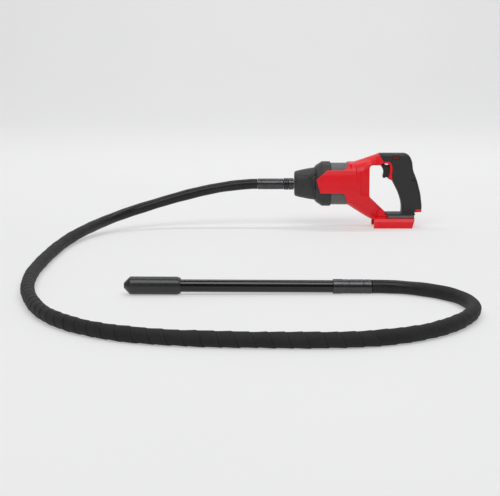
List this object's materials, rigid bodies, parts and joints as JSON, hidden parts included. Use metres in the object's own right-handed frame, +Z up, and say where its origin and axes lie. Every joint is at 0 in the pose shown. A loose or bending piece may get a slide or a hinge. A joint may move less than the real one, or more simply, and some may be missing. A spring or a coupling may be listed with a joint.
{
  "type": "concrete vibrator",
  "caption": "Cordless concrete vibrator: a D-handle power unit with a battery foot drives a long flexible shaft hose that ends in a slim steel vibrating head.",
  "frame": {"origin": "bottom centre of the power unit, on the floor under the middle of its length", "axes": "-X points along the motor axis out of the nose, +X towards the hand grip, -Y is the side that shows, +Z up"},
  "size_m": [0.8414, 1.2209, 0.1782],
  "materials": {
    "moulded_red": "satin moulded nylon",
    "button_red": "matt moulded plastic",
    "grip_rubber": "matt overmoulded rubber",
    "boot_rubber": "matt moulded rubber",
    "hose_wrap": "cloth-wrapped rubber",
    "grey_plastic": "fine matt moulding",
    "black_plastic": "fine matt moulding",
    "steel": "turned steel",
    "dark_steel": "dark zinc-plated steel",
    "polished_tube": "gloss black steel tube",
    "tip_black": "matt black coated steel",
    "cast_aluminium": "as cast, machined faces",
    "copper": "enamelled copper windings",
    "brass": "plain brass",
    "circuit_board": "coated board"
  },
  "bodies": {
    "power_unit": {"housing_left": "moulded_red", "housing_right": "moulded_red", "grip_left": "grip_rubber", "grip_right": "grip_rubber", "head_seal": "grip_rubber", "nose_boot": "boot_rubber", "bumper_ring": "boot_rubber", "flex_casing": "hose_wrap", "motor_sleeve": "grey_plastic", "base_trim_left": "grey_plastic", "base_trim_right": "grey_plastic", "trigger_switch": "black_plastic", "terminal_block": "black_plastic", "motor_rear_plate": "black_plastic", "motor_front_bearing": "steel", "motor_rear_bearing": "steel", "output_spigot": "steel", "spindle_front_bearing": "steel", "spindle_rear_bearing": "steel", "collar_spring": "steel", "flex_core": "steel", "head_plug": "steel", "head_front_bearing": "steel", "head_rear_bearing": "steel", "screw_barrel_top": "dark_steel", "screw_barrel_bottom": "dark_steel", "screw_bridge": "dark_steel", "screw_handle_top": "dark_steel", "screw_handle_bottom": "dark_steel", "screw_grip": "dark_steel", "tool_ferrule": "dark_steel", "hose_coupler": "dark_steel", "head_ferrule": "dark_steel", "head_tube": "polished_tube", "head_tip": "tip_black", "motor_front_plate": "cast_aluminium", "nose_casting": "cast_aluminium", "motor_stator": "copper", "terminal_positive": "brass", "terminal_negative": "brass", "control_board": "circuit_board"},
    "rotor": {"motor_shaft": "steel", "motor_rotor": "dark_steel", "motor_fan": "black_plastic", "output_spindle": "steel", "drive_tip": "steel"},
    "eccentric": {"eccentric_weight": "steel", "core_end_fitting": "brass"},
    "trigger": {"trigger": "black_plastic"},
    "lock_button": {"lock_button": "button_red"},
    "release_collar": {"release_collar": "steel"}
  },
  "joints": [
    {"name": "motor_spin", "type": "hinge", "parent": "power_unit", "child": "rotor", "pos_m": [0, 0, 0.1035], "axis": [1, 0, 0], "continuous": true},
    {"name": "eccentric_spin", "type": "hinge", "parent": "power_unit", "child": "eccentric", "pos_m": [-0.0354, -0.7769, 0.0128], "axis": [0.9997, 0.0244, -0.0097], "continuous": true},
    {"name": "trigger_pull", "type": "slide", "parent": "power_unit", "child": "trigger", "axis": [1, 0, 0], "range_m": [0, 0.006], "stiffness_N_per_m": 400, "springref_m": -0.003},
    {"name": "lock_slide", "type": "slide", "parent": "power_unit", "child": "lock_button", "axis": [0, -1, 0], "range_m": [0, 0.004], "stiffness_N_per_m": 300, "springref_m": -0.002},
    {"name": "collar_slide", "type": "slide", "parent": "power_unit", "child": "release_collar", "axis": [1, 0, 0], "range_m": [0, 0.004], "stiffness_N_per_m": 900, "springref_m": -0.003, "deforming": ["collar_spring"]}
  ],
  "couplings": [
    {"joint": "eccentric_spin", "follows": "motor_spin", "ratio": 1}
  ]
}
